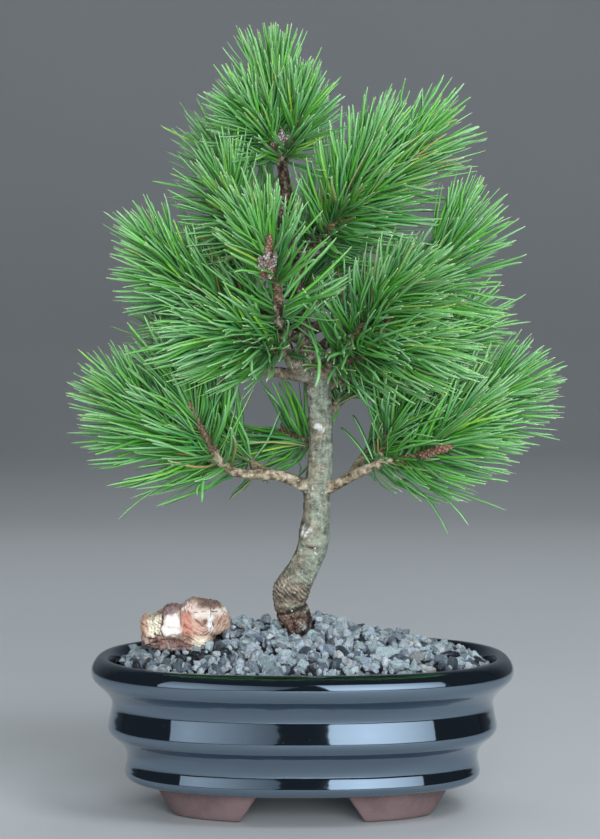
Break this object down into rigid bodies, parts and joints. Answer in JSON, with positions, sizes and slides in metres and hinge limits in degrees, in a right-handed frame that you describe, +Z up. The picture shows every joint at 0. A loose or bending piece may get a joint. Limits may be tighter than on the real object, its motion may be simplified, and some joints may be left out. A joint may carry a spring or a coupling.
{
  "type": "mugo pine bonsai in an oval pot",
  "caption": "Small mugo pine trained as a bonsai, with needle sprays on a curved trunk, grey gravel and an accent stone, in a black glazed oval pot with four feet.",
  "frame": {"origin": "middle of the whole outline, on the surface that the pot's feet stand on", "axes": "+Z up along the tree, +X along the pot's length to the right, the front of the tree looks along -Y"},
  "size_m": [0.2474, 0.1834, 0.3895],
  "materials": {
    "pot_glaze": "gloss",
    "screen_plastic": "matte",
    "soil": "matte",
    "gravel_stone": "matte",
    "banded_stone": "matte",
    "pine_bark": "matte",
    "pine_needle": "satin"
  },
  "bodies": {
    "root": {"pot": "pot_glaze", "drain_screen_left": "screen_plastic", "drain_screen_right": "screen_plastic", "soil": "soil", "gravel": "gravel_stone", "accent_stone": "banded_stone", "trunk_and_branches": "pine_bark", "spray_apex": "pine_needle", "spray_apex_left": "pine_needle", "spray_apex_right": "pine_needle", "spray_upper_left": "pine_needle", "spray_upper_middle": "pine_needle", "spray_upper_right": "pine_needle", "spray_left_mid": "pine_needle", "spray_front_centre": "pine_needle", "spray_right_centre": "pine_needle", "spray_right_far": "pine_needle", "spray_front_low_left": "pine_needle", "spray_front_low_right": "pine_needle", "spray_low_left_tip": "pine_needle", "spray_low_left_side": "pine_needle", "spray_low_left_back": "pine_needle", "spray_low_right_front": "pine_needle", "spray_low_right_inner": "pine_needle", "spray_low_right_main": "pine_needle", "spray_low_right_back": "pine_needle", "spray_behind_trunk": "pine_needle", "spray_behind_right": "pine_needle", "spray_back_mid_left": "pine_needle", "spray_back_mid": "pine_needle", "spray_back_mid_right": "pine_needle", "spray_back_upper_left": "pine_needle", "spray_back_upper_right": "pine_needle", "spray_back_left_low": "pine_needle", "spray_back_right_low": "pine_needle"}
  },
  "joints": []
}
